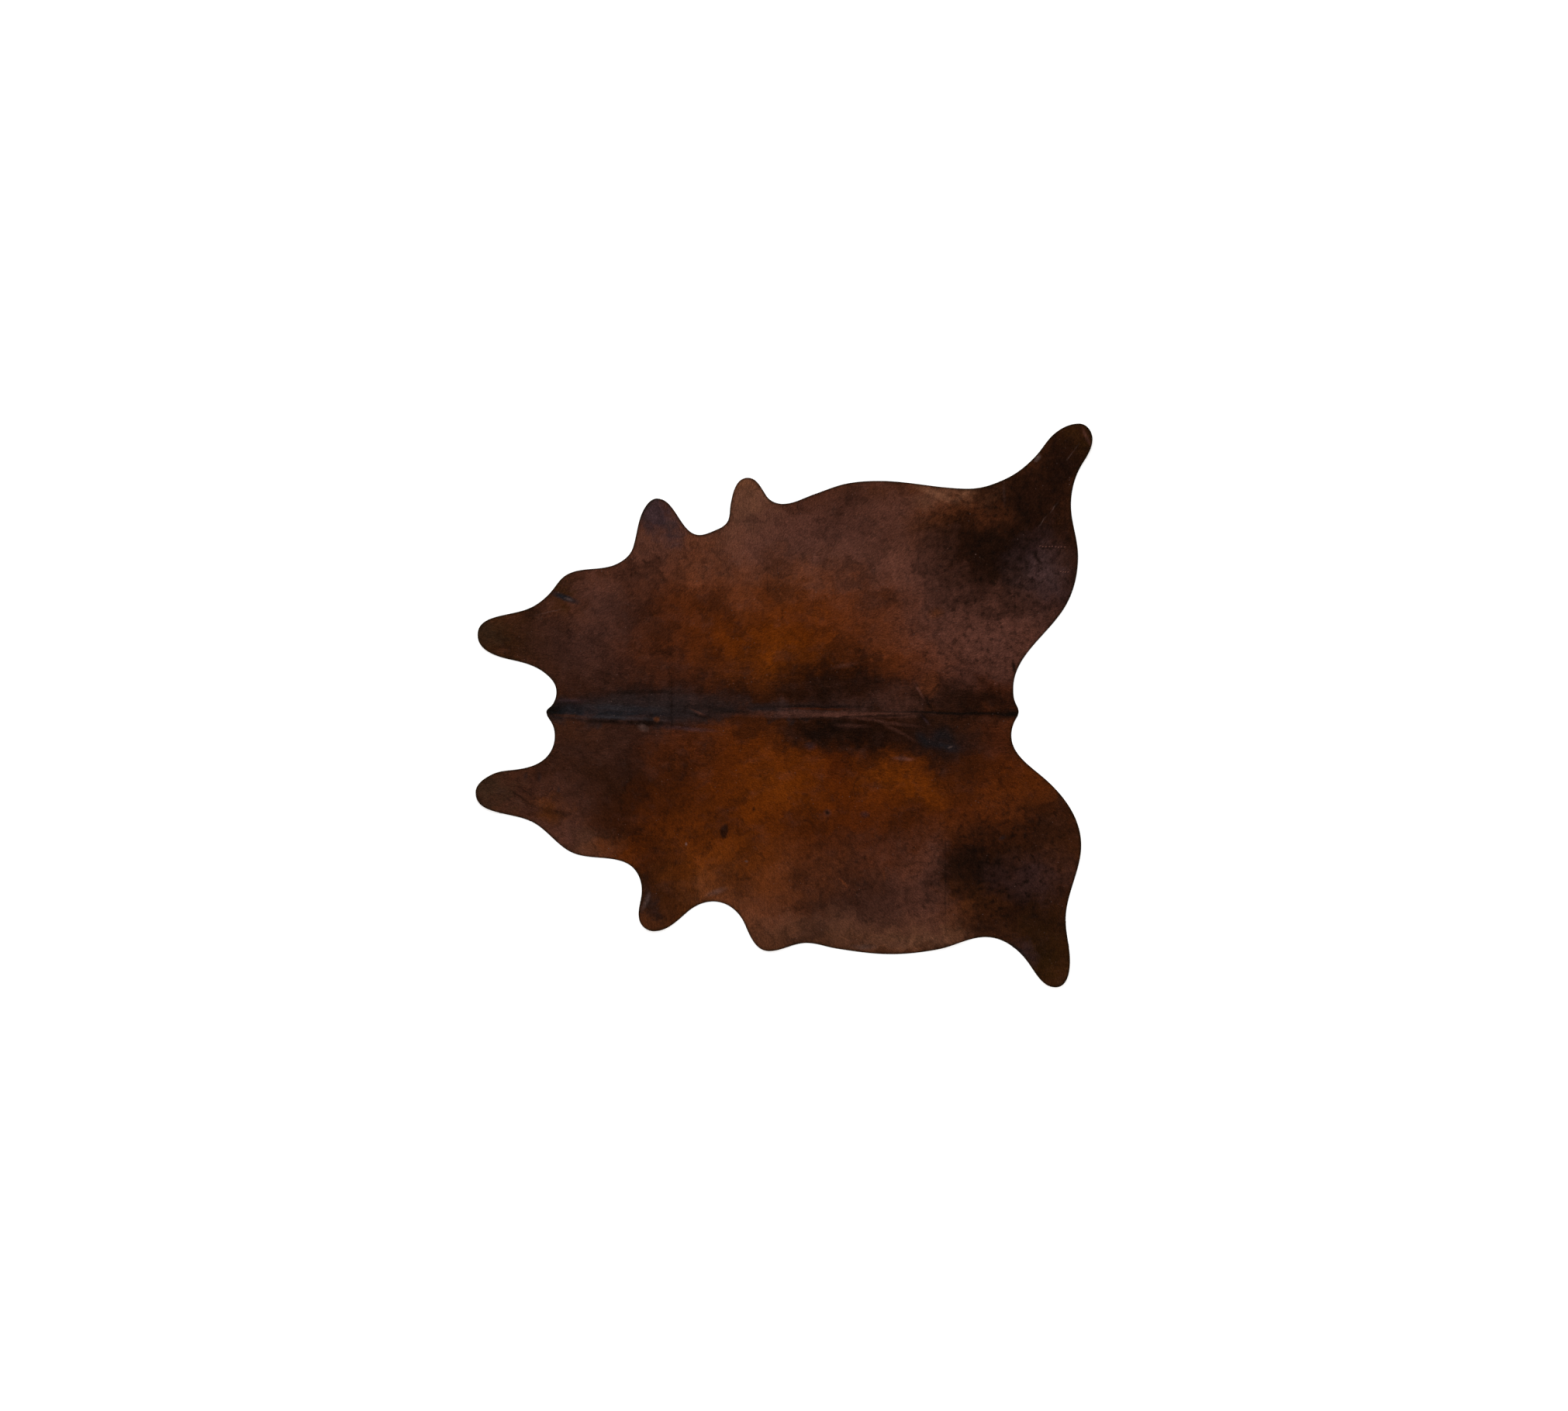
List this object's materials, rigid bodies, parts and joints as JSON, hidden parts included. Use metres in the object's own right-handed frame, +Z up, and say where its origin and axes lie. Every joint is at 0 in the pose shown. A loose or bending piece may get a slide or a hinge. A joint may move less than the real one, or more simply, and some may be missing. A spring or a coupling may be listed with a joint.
{
  "type": "hair-on cowhide rug",
  "caption": "Whole brown cowhide with short glossy hair, trimmed to its natural outline and lying flat, hair side up, as a floor rug.",
  "frame": {"origin": "under the middle of the hide's bounding box, on the surface that it lies on", "axes": "+X runs along the spine from the neck to the tail, +Y points to the right flank, +Z points up out of the hair"},
  "size_m": [2.201, 2.012, 0.0167],
  "materials": {
    "brown_hair": "short glossy brown hair, amber on the barrel and near black along the spine"
  },
  "bodies": {
    "root": {"hide": "brown_hair"}
  },
  "joints": []
}
